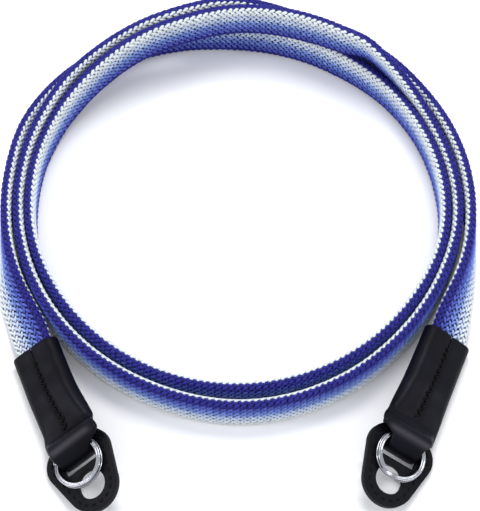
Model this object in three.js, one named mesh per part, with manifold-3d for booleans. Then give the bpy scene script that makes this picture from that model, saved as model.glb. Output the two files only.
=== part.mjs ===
// Camera neck strap, coiled as it is put away: a flat knitted band stands on its edge in nearly
// three turns, and each end runs into a leather sheath that holds a lug protector and a split ring.
// Millimetres, +Z up, the floor at z = 0.
import * as THREE from 'three';
import { mergeVertices } from 'three/addons/utils/BufferGeometryUtils.js';
import Module from 'manifold-3d';

const wasm = await Module();
wasm.setup();

// Knitted band
const bandWidth = 13;          // edge to edge, upright where the coil stands
const bandThickness = 3;       // a knitted tube pressed flat
const turnGap = 0.35;          // air between two neighbouring turns
const coilRadius = 61;         // centreline of the innermost turn
const tuckedWidth = 12.3;      // the band squeezed inside its sheath
const tuckedThickness = 2.7;
const tuckedLength = 25.5;     // how far the band runs into the sheath
const bandSteps = 240;         // sections along the coil
const edgeSides = 4;           // facets round each edge of the band

// Leather sheath
const leatherWall = 1.2;
const fitGap = 0.3;            // clearance of one piece in or on another
const shoulderReach = 6.6;     // from the left neck's fold over the ring to the end of the shoulders
const shoulderRound = 2.6;     // length over which the shoulders turn in
const neckWidth = 10.5;        // strip that goes round the ring and through the protector
const slitLength = 4.5;        // open end of the butt seam at the mouth
const slitWidth = 0.6;
const pinchWidth = 16.3;       // the tube spreads as it is pinched shut
const leftPinch = 3.4;         // solid leather between the band's end and the ring
const rightPinch = 5.5;

// Lug protector
const protectorThickness = 2.2;
const protectorWidth = 20.6;
const protectorTop = 7;        // from the slot's middle back to the top edge
const shoulderRadius = 6.3;
const tipRadius = 7.9;
const holeRadius = 4.2;
const holeOffset = 8.4;        // slot's middle to the hole's middle
const slotSpare = 1;           // the sliver of slot that stays open below the strip

// Split ring
const ringRadius = 7.5;        // outside
const ringWire = 1.35;         // radial width of the flat wire
const ringDrop = 1.2;          // the ring's middle lies below the slot's back
const ringThickness = 2;       // two coils on each other
const ringGroove = 0.25;       // depth of the line between the two coils
const ringSegments = 40;

// Lie of the two ends
const sheathRoll = 31;         // degrees that the inner edge of a sheath is lifted
const protectorRoll = 24;
const neckTurn = 6;            // degrees that the left neck is bent towards the middle

// Route of the band, hand laid from the left sheath to the right one. One row is a station:
// travel: degrees of travel, 0 at the left, 90 at the far side, 180 at the right;
// out: distance outside the innermost turn, in turn pitches;
// lift: height of the lower edge, in band widths with their gap;
// lean: degrees that the band's upper edge leans away from the middle of the coil.
const route = [
  { travel: -39, out: 3.98, lift: 0.106, lean: sheathRoll - 90 },
  { travel: -36, out: 3.63, lift: 0.07, lean: -54 },
  { travel: -31, out: 3.25, lift: 0.03, lean: -44 },
  { travel: -25, out: 3.05, lift: 0, lean: -34 },
  { travel: -14.5, out: 2.55, lift: 0, lean: -14 },
  { travel: -5, out: 2.25, lift: 0, lean: -5 },
  { travel: 8, out: 2.15, lift: 0, lean: -1 },
  { travel: 23, out: 2.3, lift: 0, lean: 0 },
  { travel: 36, out: 2.0, lift: 0, lean: 0 },
  { travel: 48, out: 1.55, lift: 0, lean: 0 },
  { travel: 61, out: 1.08, lift: 0, lean: 2 },
  { travel: 73, out: 0.62, lift: 0, lean: 5 },
  { travel: 85, out: 0.13, lift: 0, lean: 6 },
  { travel: 97, out: -0.18, lift: 0, lean: 4 },
  { travel: 109, out: -0.36, lift: 0, lean: 2 },
  { travel: 123, out: -0.48, lift: 0, lean: 0 },
  { travel: 138, out: -0.36, lift: 0, lean: -2 },
  { travel: 152, out: -0.25, lift: 0, lean: -2 },
  { travel: 170, out: -0.1, lift: 0, lean: 0 },
  { travel: 187, out: 0.05, lift: 0, lean: 0 },
  { travel: 214, out: -0.2, lift: 0, lean: 0 },
  { travel: 269, out: 0, lift: 0, lean: 0 },
  { travel: 329, out: -0.1, lift: 0, lean: 0 },
  { travel: 350, out: 0.05, lift: 0, lean: 0 },
  { travel: 365, out: 0.05, lift: 0, lean: 0 },
  { travel: 379, out: 0.1, lift: 0, lean: 0 },
  { travel: 390, out: -0.05, lift: 0.15, lean: 0 },
  { travel: 401, out: -0.45, lift: 0.42, lean: 0 },
  { travel: 417, out: -0.98, lift: 0.78, lean: 0 },
  { travel: 436, out: -1.35, lift: 1, lean: 0 },
  { travel: 449, out: -1.04, lift: 1.01, lean: 0 },
  { travel: 474, out: -0.75, lift: 1.01, lean: 0 },
  { travel: 482, out: -0.55, lift: 1.01, lean: -3 },
  { travel: 490, out: 0.24, lift: 0.9, lean: -14 },
  { travel: 497, out: 0.5, lift: 0.66, lean: -12 },
  { travel: 504, out: 0.68, lift: 0.36, lean: -8 },
  { travel: 512, out: 0.8, lift: 0.07, lean: -4 },
  { travel: 522, out: 0.9, lift: 0, lean: -3 },
  { travel: 547, out: 1.1, lift: 0, lean: 0 },
  { travel: 562, out: 0.95, lift: 0, lean: 0 },
  { travel: 584, out: 1.0, lift: 0, lean: 0 },
  { travel: 602, out: 1.3, lift: 0, lean: 0 },
  { travel: 629, out: 1.6, lift: 0, lean: 0 },
  { travel: 650, out: 1.35, lift: 0, lean: 0 },
  { travel: 690, out: 1.12, lift: 0, lean: 0 },
  { travel: 711, out: 1.07, lift: 0, lean: 0 },
  { travel: 727, out: 1.1, lift: 0, lean: 0 },
  { travel: 738, out: 1.15, lift: 0.05, lean: 0 },
  { travel: 748, out: 1.05, lift: 0.2, lean: 0 },
  { travel: 758, out: 0.9, lift: 0.38, lean: 0 },
  { travel: 770, out: 0.45, lift: 0.6, lean: 0 },
  { travel: 780, out: 0.06, lift: 0.8, lean: 0 },
  { travel: 790, out: -0.3, lift: 0.97, lean: 0 },
  { travel: 797, out: -0.2, lift: 1, lean: -3 },
  { travel: 804, out: 0.2, lift: 1, lean: -11 },
  { travel: 811, out: 0.5, lift: 0.9, lean: -15 },
  { travel: 820, out: 0.78, lift: 0.6, lean: -12 },
  { travel: 830, out: 1.05, lift: 0.28, lean: -8 },
  { travel: 838, out: 1.45, lift: 0.12, lean: -7 },
  { travel: 848, out: 1.85, lift: 0.01, lean: -6 },
  { travel: 866, out: 1.92, lift: 0, lean: -5 },
  { travel: 884, out: 2.08, lift: 0, lean: -2 },
  { travel: 907, out: 2.35, lift: 0, lean: -5 },
  { travel: 916.6, out: 2.65, lift: 0, lean: -15 },
  { travel: 922.5, out: 2.85, lift: 0, lean: -25 },
  { travel: 928, out: 3.12, lift: 0.02, lean: -38 },
  { travel: 935.7, out: 3.8, lift: 0.106, lean: sheathRoll - 90 },
];
const travelStart = route[0].travel;
const travelEnd = route[route.length - 1].travel;

// One column of the route at a travel angle, as a smooth curve through its rows.
function column(name, travel) {
  const last = route.length - 1;
  const slope = (i) => (route[i + 1][name] - route[i][name]) / (route[i + 1].travel - route[i].travel);
  const tangent = (i) => {
    if (i === 0) return slope(0);
    if (i === last) return slope(last - 1);
    const before = route[i].travel - route[i - 1].travel;
    const after = route[i + 1].travel - route[i].travel;
    return (slope(i - 1) * after + slope(i) * before) / (before + after);
  };
  let i = 0;
  while (i < last - 1 && travel >= route[i + 1].travel) i += 1;
  const span = route[i + 1].travel - route[i].travel;
  const t = (travel - route[i].travel) / span;
  const t2 = t * t;
  const t3 = t2 * t;
  return (2 * t3 - 3 * t2 + 1) * route[i][name] + (t3 - 2 * t2 + t) * span * tangent(i)
    + (3 * t2 - 2 * t3) * route[i + 1][name] + (t3 - t2) * span * tangent(i + 1);
}

// Middle of the band at a travel angle: the lower edge rests at the station's lift.
function bandCentre(travel) {
  const angle = THREE.MathUtils.degToRad(travel);
  const lean = THREE.MathUtils.degToRad(column('lean', travel));
  const radius = coilRadius + column('out', travel) * (bandThickness + turnGap);
  const lift = Math.max(column('lift', travel), 0) * (bandWidth + turnGap);
  const height = lift + (bandWidth - bandThickness) / 2 * Math.cos(lean) + bandThickness / 2;
  return new THREE.Vector3(-radius * Math.cos(angle), radius * Math.sin(angle), height);
}

// Centre, direction of travel, direction across the width and direction through the thickness.
function bandFrame(travel) {
  const reach = 0.5;
  const ahead = bandCentre(Math.min(travel + reach, travelEnd));
  const behind = bandCentre(Math.max(travel - reach, travelStart));
  const along = ahead.sub(behind).normalize();
  const angle = THREE.MathUtils.degToRad(travel);
  const lean = THREE.MathUtils.degToRad(column('lean', travel));
  const across = new THREE.Vector3(-Math.cos(angle) * Math.sin(lean), Math.sin(angle) * Math.sin(lean),
    Math.cos(lean));
  across.addScaledVector(along, -across.dot(along)).normalize();
  return { centre: bandCentre(travel), along, across, through: across.clone().cross(along) };
}

// Flat section with two round edges, as points across (x) and through (y).
function stadium(width, thickness, sides) {
  const round = Math.min(thickness, width) / 2;
  const points = [];
  for (const end of [1, -1]) {
    for (let i = 0; i <= sides; i += 1) {
      const turn = Math.PI * i / sides;
      points.push(new THREE.Vector2(end * (width / 2 - round + round * Math.sin(turn)),
        end * round * Math.cos(turn)));
    }
  }
  return points;
}

// Closed mesh from rings of points of one length, with a flat cap at each end.
function loft(rings) {
  const count = rings[0].length;
  const positions = rings.flat().flatMap((p) => [p.x, p.y, p.z]);
  const faces = [];
  for (let r = 0; r < rings.length - 1; r += 1) {
    for (let i = 0; i < count; i += 1) {
      const a = r * count + i;
      const b = r * count + (i + 1) % count;
      faces.push(a, b, b + count, a, b + count, a + count);
    }
  }
  const lastRing = (rings.length - 1) * count;
  for (let i = 1; i < count - 1; i += 1) {
    faces.push(0, i + 1, i, lastRing, lastRing + i, lastRing + i + 1);
  }
  const geometry = new THREE.BufferGeometry();
  geometry.setAttribute('position', new THREE.Float32BufferAttribute(positions, 3));
  geometry.setIndex(faces);
  return geometry;
}

// Closed geometry to solid and back, for joins and cuts.
function solid(geometry) {
  const bare = geometry.clone();
  bare.deleteAttribute('normal');
  bare.deleteAttribute('uv');
  const merged = mergeVertices(bare, 1e-4);
  return new wasm.Manifold(new wasm.Mesh({
    numProp: 3,
    vertProperties: new Float32Array(merged.attributes.position.array),
    triVerts: new Uint32Array(merged.index.array),
  }));
}

function geometryOf(manifold) {
  const mesh = manifold.getMesh();
  const geometry = new THREE.BufferGeometry();
  geometry.setAttribute('position', new THREE.BufferAttribute(mesh.vertProperties, 3));
  geometry.setIndex(new THREE.BufferAttribute(mesh.triVerts, 1));
  return geometry;
}

// Sizes that follow from the driving ones
const sheathWidth = tuckedWidth + 2 * (leatherWall + fitGap);
const sheathThickness = tuckedThickness + 2 * (leatherWall + fitGap);
const loopHalf = (protectorThickness + ringThickness + 3 * fitGap) / 2;
const neckThickness = 2 * (loopHalf + leatherWall);
const protectorLow = loopHalf - fitGap - protectorThickness / 2;
const twistAngle = THREE.MathUtils.degToRad(protectorRoll - sheathRoll);
const pinchStart = tuckedLength + fitGap;
const sheathLength = pinchStart + leftPinch + shoulderReach;   // mouth to the end of the shoulders

// Where a tab starts and how it lies: x along the tab to its tip, z up out of its front face.
// The inner edge is at +y on the left tab and at -y on the right one.
function tabFrame(travel, side, slotOffset) {
  const end = bandFrame(travel);
  const along = end.along.clone().multiplyScalar(-side).setZ(0).normalize();
  const roll = Math.asin(end.across.z) + twistAngle;
  const rest = protectorWidth / 2 * Math.sin(roll)
    + (protectorLow + protectorThickness / 2) * Math.cos(roll);
  along.z = (rest - end.centre.z) / slotOffset;
  along.normalize();
  const across = end.across.clone().multiplyScalar(side);
  across.addScaledVector(along, -across.dot(along)).normalize();
  return { origin: end.centre, along, across, front: along.clone().cross(across), side };
}

// A tab with the places along it that follow from the length of its pinch.
function makeTab(name, travel, side, pinch, turn) {
  const loopStart = pinchStart + pinch;
  const slotOffset = loopStart + fitGap + protectorTop;
  const loopEnd = slotOffset + leatherWall / 2;
  return { name, side, turn, loopStart, slotOffset, loopEnd, frame: tabFrame(travel, side, slotOffset) };
}
const tabs = [
  makeTab('left', travelStart, 1, leftPinch, neckTurn),
  makeTab('right', travelEnd, -1, rightPinch, 0),
];

// Knitted band: the coil, then a straight run into the sheath at each end.
function bandGeometry() {
  const ring = (centre, across, through, width, thickness) => stadium(width, thickness, edgeSides)
    .map((p) => centre.clone().addScaledVector(across, p.x).addScaledVector(through, p.y));
  const tucked = (frame, distance) => {
    const centre = frame.origin.clone().addScaledVector(frame.along, distance);
    const across = frame.across.clone().multiplyScalar(frame.side);
    return ring(centre, across, frame.front, tuckedWidth, tuckedThickness);
  };
  const rings = [];
  const inside = [tuckedLength, tuckedLength / 2, 0];
  for (const distance of inside) rings.push(tucked(tabs[0].frame, distance));
  for (let i = 1; i < bandSteps; i += 1) {
    const travel = travelStart + (travelEnd - travelStart) * i / bandSteps;
    const { centre, across, through } = bandFrame(travel);
    rings.push(ring(centre, across, through, bandWidth, bandThickness));
  }
  for (const distance of inside.reverse()) rings.push(tucked(tabs[1].frame, distance));
  return loft(rings);
}

// Flat sections at distances along the tab, joined to a closed mesh.
function loftAlongTab(rows) {
  return loft(rows.map(({ at, width, thickness }) => stadium(width, thickness, 6)
    .map((p) => new THREE.Vector3(at, p.x, -p.y))));
}

// Leather sheath: a flattened tube round the band's end, pinched shut, then a strip that goes over
// the ring, down through the protector's slot and back under it.
function sheathBody() {
  const rows = [
    { at: 0, width: sheathWidth, swell: 0 },
    { at: tuckedLength - pinchWidth / 2, width: sheathWidth, swell: 0 },
    { at: tuckedLength, width: (sheathWidth + pinchWidth) / 2, swell: 0 },
    { at: sheathLength - shoulderRound, width: pinchWidth, swell: 0.5 },
    { at: sheathLength - shoulderRound / 2, width: pinchWidth * 0.96, swell: 0.8 },
    { at: sheathLength - shoulderRound / 6, width: pinchWidth * 0.86, swell: 0.95 },
    { at: sheathLength, width: pinchWidth * 0.74, swell: 1 },
  ];
  return loftAlongTab(rows.map(({ at, width, swell }) => ({
    at,
    width,
    thickness: THREE.MathUtils.lerp(sheathThickness, neckThickness, swell),
  })));
}

// Side view of the neck's fold: outside it swells out of the sheath, inside it holds the ring.
function foldOutside(tab) {
  const round = 1.6;
  const end = tab.loopEnd;
  const root = { x: tuckedLength, z: sheathThickness / 2 - leatherWall / 2 };
  const crest = { x: tab.loopStart + fitGap, z: neckThickness / 2 };
  const shape = new THREE.Shape();
  shape.moveTo(root.x, -root.z);
  shape.lineTo(crest.x, -crest.z);
  shape.lineTo(end - round, -crest.z);
  shape.absarc(end - round, round - crest.z, round, -Math.PI / 2, 0, false);
  shape.absarc(end - round, crest.z - round, round, 0, Math.PI / 2, false);
  shape.lineTo(crest.x, crest.z);
  shape.lineTo(root.x, root.z);
  return shape;
}

function foldInside(tab) {
  const round = 0.4;
  const end = tab.loopEnd - leatherWall;
  const shape = new THREE.Shape();
  shape.moveTo(tab.loopStart, -loopHalf);
  shape.lineTo(end - round, -loopHalf);
  shape.absarc(end - round, round - loopHalf, round, -Math.PI / 2, 0, false);
  shape.absarc(end - round, loopHalf - round, round, 0, Math.PI / 2, false);
  shape.lineTo(tab.loopStart, loopHalf);
  return shape;
}

// A profile along the tab (x) and through it (z), as wide as given across the tab.
function acrossTab(shape, width) {
  const geometry = new THREE.ExtrudeGeometry(shape, { depth: width, bevelEnabled: false, curveSegments: 5 });
  geometry.translate(0, 0, -width / 2);
  geometry.rotateX(Math.PI / 2);
  return geometry;
}

function sheathGeometry(tab) {
  const pocket = { width: tuckedWidth + 2 * fitGap, thickness: tuckedThickness + 2 * fitGap };
  const hollow = loftAlongTab([
    { at: -leatherWall, ...pocket },
    { at: tuckedLength + fitGap, ...pocket },
  ]);
  const slit = new THREE.Shape();
  slit.moveTo(-leatherWall, -slitWidth / 2);
  slit.lineTo(slitLength, 0);
  slit.lineTo(-leatherWall, slitWidth / 2);
  const slitCut = new THREE.ExtrudeGeometry(slit, { depth: sheathThickness, bevelEnabled: false });
  const whole = solid(sheathBody())
    .add(solid(acrossTab(foldOutside(tab), neckWidth)))
    .subtract(solid(hollow))
    .subtract(solid(slitCut))
    .subtract(solid(acrossTab(foldInside(tab), 2 * pinchWidth)));
  return twisted(geometryOf(whole), tab);
}

// The neck and what hangs on it lie a little flatter than the sheath, and the left one is bent
// aside about the protector's slot: the pinch takes the twist and the bend.
function twisted(geometry, tab) {
  const points = geometry.attributes.position;
  const point = new THREE.Vector3();
  const lengthways = new THREE.Vector3(1, 0, 0);
  const upwards = new THREE.Vector3(0, 0, 1);
  const turn = THREE.MathUtils.degToRad(tab.turn);
  for (let i = 0; i < points.count; i += 1) {
    point.fromBufferAttribute(points, i);
    const share = THREE.MathUtils.smoothstep(point.x, pinchStart, tab.loopStart);
    point.applyAxisAngle(lengthways, tab.side * twistAngle * share);
    point.x -= tab.slotOffset;
    point.applyAxisAngle(upwards, turn * share);
    point.x += tab.slotOffset;
    points.setXYZ(i, point.x, point.y, point.z);
  }
  return geometry;
}

// Lug protector: a leather plate whose outline runs round two shoulders and a tip.
function protectorGeometry() {
  const shoulder = new THREE.Vector2(protectorWidth / 2 - shoulderRadius, shoulderRadius - protectorTop);
  const span = Math.hypot(shoulder.x, holeOffset - shoulder.y);
  const lean = Math.atan2(holeOffset - shoulder.y, shoulder.x);
  const tangent = Math.acos((tipRadius - shoulderRadius) / span) - lean;
  const outline = new THREE.Shape();
  outline.absarc(0, holeOffset, tipRadius, tangent, Math.PI - tangent, false);
  outline.absarc(-shoulder.x, shoulder.y, shoulderRadius, Math.PI - tangent, 1.5 * Math.PI, false);
  outline.absarc(shoulder.x, shoulder.y, shoulderRadius, -Math.PI / 2, tangent, false);
  const hole = new THREE.Path();
  hole.absarc(0, holeOffset, holeRadius, 0, 2 * Math.PI, true);
  const slotHalf = neckWidth / 2 + fitGap;
  const slotBack = -leatherWall / 2 - fitGap;
  const slotFront = leatherWall / 2 + fitGap + slotSpare;
  const slot = new THREE.Path();
  slot.moveTo(-slotHalf, slotBack);
  slot.lineTo(-slotHalf, slotFront);
  slot.lineTo(slotHalf, slotFront);
  slot.lineTo(slotHalf, slotBack);
  outline.holes.push(hole, slot);
  const geometry = new THREE.ExtrudeGeometry(outline,
    { depth: protectorThickness, bevelEnabled: false, curveSegments: 16 });
  geometry.translate(0, 0, -protectorThickness / 2);
  return new THREE.BufferGeometry().copy(geometry).rotateZ(-Math.PI / 2);
}

// Split ring: two flat coils pressed together, seen as one ring with a line round its middle.
function ringGeometry() {
  const inner = ringRadius - ringWire;
  const half = ringThickness / 2;
  const profile = [[inner, -half], [ringRadius, -half], [ringRadius, -ringGroove],
    [ringRadius - ringGroove, 0], [ringRadius, ringGroove], [ringRadius, half], [inner, half],
    [inner, ringGroove], [inner + ringGroove, 0], [inner, -ringGroove], [inner, -half]];
  const geometry = new THREE.LatheGeometry(profile.map(([r, z]) => new THREE.Vector2(r, z)), ringSegments);
  return geometry.rotateX(Math.PI / 2);
}

function piece(name, geometry, look) {
  geometry.deleteAttribute('uv');
  geometry.deleteAttribute('normal');
  const merged = mergeVertices(geometry, 1e-4);
  merged.computeVertexNormals();
  const mesh = new THREE.Mesh(merged, new THREE.MeshStandardMaterial(look));
  mesh.name = name;
  return mesh;
}
const knit = { color: 0x5a6cc8, roughness: 0.9, metalness: 0 };
const blackLeather = { color: 0x17161d, roughness: 0.5, metalness: 0, flatShading: true };
const steel = { color: 0xc9ccd1, roughness: 0.2, metalness: 1, flatShading: true };

const strap = new THREE.Group();
strap.add(piece('strap_band', bandGeometry(), knit));

for (const tab of tabs) {
  const end = new THREE.Group();
  end.position.copy(tab.frame.origin);
  const basis = new THREE.Matrix4().makeBasis(tab.frame.along, tab.frame.across, tab.frame.front);
  end.quaternion.setFromRotationMatrix(basis);
  end.add(piece(`end_sheath_${tab.name}`, sheathGeometry(tab), blackLeather));

  const bend = new THREE.Group();
  bend.position.x = tab.slotOffset;
  bend.rotation.z = THREE.MathUtils.degToRad(tab.turn);
  const hung = new THREE.Group();
  hung.rotation.x = tab.side * twistAngle;
  hung.position.set(0, protectorLow * Math.sin(tab.side * twistAngle), -protectorLow * Math.cos(twistAngle));
  hung.add(piece(`lug_protector_${tab.name}`, protectorGeometry(), blackLeather));
  const ring = piece(`split_ring_${tab.name}`, ringGeometry(), steel);
  ring.position.set(ringDrop, 0, protectorThickness / 2 + fitGap + ringThickness / 2);
  hung.add(ring);
  bend.add(hung);
  end.add(bend);
  strap.add(end);
}

// The part's origin is the middle of its footprint, on the floor.
const footprint = new THREE.Box3().setFromObject(strap, true);
const middle = footprint.getCenter(new THREE.Vector3());
strap.position.set(-middle.x, -middle.y, -footprint.min.z);

export default strap;
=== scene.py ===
# %% [markdown]
# # A camera neck strap, coiled and standing on its edge
# The real object is a flat tube, knitted from six dyes of polyester yarn, with a leather sheath,
# a leather lug protector and a split ring at each end. It is put away in nearly three turns, so
# most of what the eye sees is the band's upper edge and the faces of its innermost and outermost
# turns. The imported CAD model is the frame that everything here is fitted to.

# %% Load the frame
import math
import bpy
import numpy as np
from mathutils import Matrix, Vector


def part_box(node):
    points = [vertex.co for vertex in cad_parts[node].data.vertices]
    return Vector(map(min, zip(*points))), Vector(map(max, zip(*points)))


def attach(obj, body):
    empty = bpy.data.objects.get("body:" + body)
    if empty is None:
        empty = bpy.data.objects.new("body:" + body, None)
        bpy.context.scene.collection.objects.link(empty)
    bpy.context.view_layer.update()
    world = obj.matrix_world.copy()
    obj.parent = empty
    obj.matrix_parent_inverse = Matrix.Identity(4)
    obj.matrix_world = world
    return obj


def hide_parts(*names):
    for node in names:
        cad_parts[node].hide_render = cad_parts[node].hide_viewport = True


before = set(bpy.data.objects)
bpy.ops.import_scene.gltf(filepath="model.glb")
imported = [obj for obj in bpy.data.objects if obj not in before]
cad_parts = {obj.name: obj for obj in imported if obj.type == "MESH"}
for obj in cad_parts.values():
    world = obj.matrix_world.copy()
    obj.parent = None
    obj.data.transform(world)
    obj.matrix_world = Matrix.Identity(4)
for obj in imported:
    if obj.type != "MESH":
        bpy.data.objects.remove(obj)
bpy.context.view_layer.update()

# %% [markdown]
# ## The route of the band
# The band could be drawn as a free curve, but then it would drift from the CAD solid. So the
# stations of part.mjs are repeated here and run through the same smooth curve: degrees of travel
# round the coil, turns outside the innermost one, lift in band widths, and the lean of the top edge.

# %% Stations of the route
MM = 0.001
band_width = 13.0
band_thickness = 3.0
turn_gap = 0.35
coil_radius = 61.0
sheath_roll, protector_roll = 31, 24       # degrees that the side towards the coil is lifted
sheath_lean = sheath_roll - 90
stations = np.array([
    # travel, out, lift, lean
    (-39, 3.98, 0.106, sheath_lean),
    (-36, 3.63, 0.07, -54),
    (-31, 3.25, 0.03, -44),
    (-25, 3.05, 0, -34),
    (-14.5, 2.55, 0, -14),
    (-5, 2.25, 0, -5),
    (8, 2.15, 0, -1),
    (23, 2.3, 0, 0),
    (36, 2.0, 0, 0),
    (48, 1.55, 0, 0),
    (61, 1.08, 0, 2),
    (73, 0.62, 0, 5),
    (85, 0.13, 0, 6),
    (97, -0.18, 0, 4),
    (109, -0.36, 0, 2),
    (123, -0.48, 0, 0),
    (138, -0.36, 0, -2),
    (152, -0.25, 0, -2),
    (170, -0.1, 0, 0),
    (187, 0.05, 0, 0),
    (214, -0.2, 0, 0),
    (269, 0, 0, 0),
    (329, -0.1, 0, 0),
    (350, 0.05, 0, 0),
    (365, 0.05, 0, 0),
    (379, 0.1, 0, 0),
    (390, -0.05, 0.15, 0),
    (401, -0.45, 0.42, 0),
    (417, -0.98, 0.78, 0),
    (436, -1.35, 1, 0),
    (449, -1.04, 1.01, 0),
    (474, -0.75, 1.01, 0),
    (482, -0.55, 1.01, -3),
    (490, 0.24, 0.9, -14),
    (497, 0.5, 0.66, -12),
    (504, 0.68, 0.36, -8),
    (512, 0.8, 0.07, -4),
    (522, 0.9, 0, -3),
    (547, 1.1, 0, 0),
    (562, 0.95, 0, 0),
    (584, 1.0, 0, 0),
    (602, 1.3, 0, 0),
    (629, 1.6, 0, 0),
    (650, 1.35, 0, 0),
    (690, 1.12, 0, 0),
    (711, 1.07, 0, 0),
    (727, 1.1, 0, 0),
    (738, 1.15, 0.05, 0),
    (748, 1.05, 0.2, 0),
    (758, 0.9, 0.38, 0),
    (770, 0.45, 0.6, 0),
    (780, 0.06, 0.8, 0),
    (790, -0.3, 0.97, 0),
    (797, -0.2, 1, -3),
    (804, 0.2, 1, -11),
    (811, 0.5, 0.9, -15),
    (820, 0.78, 0.6, -12),
    (830, 1.05, 0.28, -8),
    (838, 1.45, 0.12, -7),
    (848, 1.85, 0.01, -6),
    (866, 1.92, 0, -5),
    (884, 2.08, 0, -2),
    (907, 2.35, 0, -5),
    (916.6, 2.65, 0, -15),
    (922.5, 2.85, 0, -25),
    (928, 3.12, 0.02, -38),
    (935.7, 3.8, 0.106, sheath_lean),
])
travel_start = stations[0, 0]
travel_end = stations[-1, 0]
print("stations", len(stations), "over", round((travel_end - travel_start) / 360, 2), "turns")


def smooth(knots, values, at):
    """A smooth curve through values at knots, read at the places at."""
    knots, values, at = np.asarray(knots, float), np.asarray(values, float), np.asarray(at, float)
    step = np.diff(knots)
    slope = np.diff(values) / step
    tangent = np.concatenate([slope[:1], slope, slope[-1:]])[:len(values)]
    tangent[1:-1] = (slope[:-1] * step[1:] + slope[1:] * step[:-1]) / (step[:-1] + step[1:])
    tangent[-1] = slope[-1]
    i = np.clip(np.searchsorted(knots, at, side="right") - 1, 0, len(step) - 1)
    t = (at - knots[i]) / step[i]
    return ((2 * t**3 - 3 * t**2 + 1) * values[i] + (t**3 - 2 * t**2 + t) * step[i] * tangent[i]
            + (3 * t**2 - 2 * t**3) * values[i + 1] + (t**3 - t**2) * step[i] * tangent[i + 1])


def band_centre(travel):
    """The middle of the band's section at places along the route."""
    angle = np.radians(travel)
    out, lift, lean = (smooth(stations[:, 0], stations[:, k], travel) for k in (1, 2, 3))
    radius = coil_radius + out * (band_thickness + turn_gap)
    height = (np.maximum(lift, 0) * (band_width + turn_gap) + band_thickness / 2
              + (band_width - band_thickness) / 2 * np.cos(np.radians(lean)))
    return np.stack([-radius * np.cos(angle), radius * np.sin(angle), height], -1)


def unit(v):
    return v / np.linalg.norm(v, axis=-1, keepdims=True)


def band_frame(travel):
    """Centre, and the directions along the route, across the width and through to the outer face."""
    travel = np.asarray(travel, float)
    ahead = band_centre(np.minimum(travel + 0.5, travel_end))
    behind = band_centre(np.maximum(travel - 0.5, travel_start))
    along = unit(ahead - behind)
    angle = np.radians(travel)
    lean = np.radians(smooth(stations[:, 0], stations[:, 3], travel))
    across = np.stack([-np.cos(angle) * np.sin(lean), np.sin(angle) * np.sin(lean), np.cos(lean)], -1)
    across = unit(across - (across * along).sum(-1, keepdims=True) * along)
    return band_centre(travel), along, across, np.cross(across, along)


# %% [markdown]
# The band's section is a stadium: two flat faces and two round edges. One function gives a point of
# it by the distance round it, starting at the middle of the upper edge and going down the inner
# face first, so that anything can be laid on the surface by a length in millimetres.

# %% Section of a flat tube
def stadium_length(width, thickness):
    return 2 * (width - thickness) + math.pi * thickness


def stadium(round_it, width, thickness):
    """Point (across, through) and outward normal at a distance round the section."""
    width, thickness = np.asarray(width, float), np.asarray(thickness, float)
    q = np.mod(round_it, stadium_length(width, thickness))
    flat, arc, r = width - thickness, math.pi * thickness / 2, thickness / 2
    turn = np.where(q < arc / 2, q / r, np.where(q < arc / 2 + flat, math.pi / 2, np.where(
        q < 1.5 * arc + flat, math.pi / 2 + (q - arc / 2 - flat) / r, np.where(
            q < 1.5 * arc + 2 * flat, 1.5 * math.pi, 1.5 * math.pi + (q - 1.5 * arc - 2 * flat) / r))))
    middle = np.where(q < arc / 2, flat / 2, np.where(
        q < arc / 2 + flat, flat / 2 + arc / 2 - q, np.where(
            q < 1.5 * arc + flat, -flat / 2, np.where(
                q < 1.5 * arc + 2 * flat, q - 1.5 * arc - 1.5 * flat, flat / 2))))
    normal = np.stack([np.cos(turn), -np.sin(turn)], -1)
    point = np.stack([middle, np.zeros_like(middle)], -1) + r[..., None] * normal
    return point, normal


# %% [markdown]
# The route is measured once in fine steps, so that a stitch can be placed by its distance along the
# band. The CAD part has its origin in the middle of its footprint. That could be typed in as a
# number, but it is worked out from the band's own box in the frame, so that it can't go stale.

# %% Fine stations, lengths and the shift to the part's origin
def walked(points):
    """The distance walked along a chain of points, up to each of them."""
    return np.concatenate([[0], np.cumsum(np.linalg.norm(np.diff(points, axis=0), axis=1))])


fine_travel = np.arange(travel_start, travel_end + 0.01, 0.2)
fine = band_frame(fine_travel)
fine_length = walked(fine[0])
band_length = fine_length[-1]

loop_q = np.linspace(0, stadium_length(band_width, band_thickness), 25)
loop_points, _ = stadium(loop_q, band_width, band_thickness)
skin = (fine[0][:, None] + loop_points[:, :1] * fine[2][:, None] + loop_points[:, 1:] * fine[3][:, None])
low, high = (np.array(corner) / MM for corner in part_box("strap_band"))
shift = high - skin.max((0, 1))
shift[0] = (low[0] + high[0] - skin[..., 0].min() - skin[..., 0].max()) / 2
print("band between the sheaths", round(band_length, 1), "mm")
print("shift to the part's origin", np.round(shift, 2), "mm")

# %% [markdown]
# ## Camera, light and floor
# The photograph is a catalogue picture from above the coil's near side, with a long lens, on pure
# white. One big soft light would do for the knit, but steel and leather show what stands round
# them. So a softbox hangs over the far side, and a narrow strip on each side gives the sheaths and
# rings their streaks. A pale floor under the coil takes only a faint shadow.

# %% Camera
def new_object(name, data):
    """An object for some data, linked into the scene."""
    made = bpy.data.objects.new(name, data)
    bpy.context.scene.collection.objects.link(made)
    return made


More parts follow.
